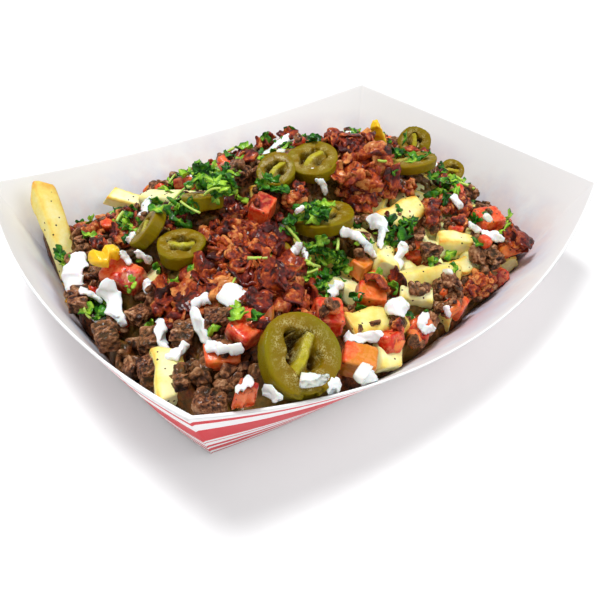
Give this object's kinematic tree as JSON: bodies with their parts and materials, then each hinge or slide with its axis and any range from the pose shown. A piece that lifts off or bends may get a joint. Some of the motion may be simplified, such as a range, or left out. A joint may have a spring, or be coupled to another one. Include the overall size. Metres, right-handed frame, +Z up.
{
  "type": "loaded fries in a paper tray",
  "caption": "Carne asada fries heaped in a folded paperboard food tray, topped with bacon, grilled steak, tomato, pickled pepper slices, herbs, cheese and cream.",
  "frame": {"origin": "centre of the tray's flat base, on the surface that it stands on", "axes": "+X along the tray's long side, +Y across it, away from the picture's camera, +Z up"},
  "size_m": [0.235, 0.189, 0.0596],
  "materials": {
    "paper": "coated paperboard",
    "fry": "fried potato",
    "bacon": "crisp and greasy",
    "jalapeno": "wet skin",
    "tomato": "wet flesh",
    "steak": "grilled meat",
    "leaf": "fresh leaf",
    "onion": "wet flesh",
    "cheese": "soft cheese"
  },
  "bodies": {
    "root": {"tray": "paper", "fries_heap": "fry", "bacon_main": "bacon", "bacon_back": "bacon", "bacon_front": "bacon", "jalapeno_1": "jalapeno", "jalapeno_2": "jalapeno", "jalapeno_3": "jalapeno", "jalapeno_4": "jalapeno", "jalapeno_5": "jalapeno", "jalapeno_6": "jalapeno", "jalapeno_7": "jalapeno", "jalapeno_8": "jalapeno", "jalapeno_9": "jalapeno", "jalapeno_10": "jalapeno", "jalapeno_11": "jalapeno", "jalapeno_12": "jalapeno", "tomato_1": "tomato", "tomato_2": "tomato", "tomato_3": "tomato", "tomato_4": "tomato", "tomato_5": "tomato", "tomato_6": "tomato", "tomato_7": "tomato", "tomato_8": "tomato", "tomato_9": "tomato", "tomato_10": "tomato", "tomato_11": "tomato", "tomato_12": "tomato", "tomato_13": "tomato", "tomato_14": "tomato", "tomato_15": "tomato", "tomato_16": "tomato", "steak_1": "steak", "steak_2": "steak", "steak_3": "steak", "steak_4": "steak", "steak_5": "steak", "steak_6": "steak", "steak_7": "steak", "steak_8": "steak", "steak_9": "steak", "steak_10": "steak", "steak_11": "steak", "steak_12": "steak", "steak_13": "steak", "steak_14": "steak", "steak_15": "steak", "steak_16": "steak", "steak_17": "steak", "sprig_1": "leaf", "sprig_2": "leaf", "sprig_3": "leaf", "sprig_4": "leaf", "sprig_5": "leaf", "onion_1": "onion", "onion_2": "onion", "onion_3": "onion", "cheese_1": "cheese", "cheese_2": "cheese"}
  },
  "joints": []
}
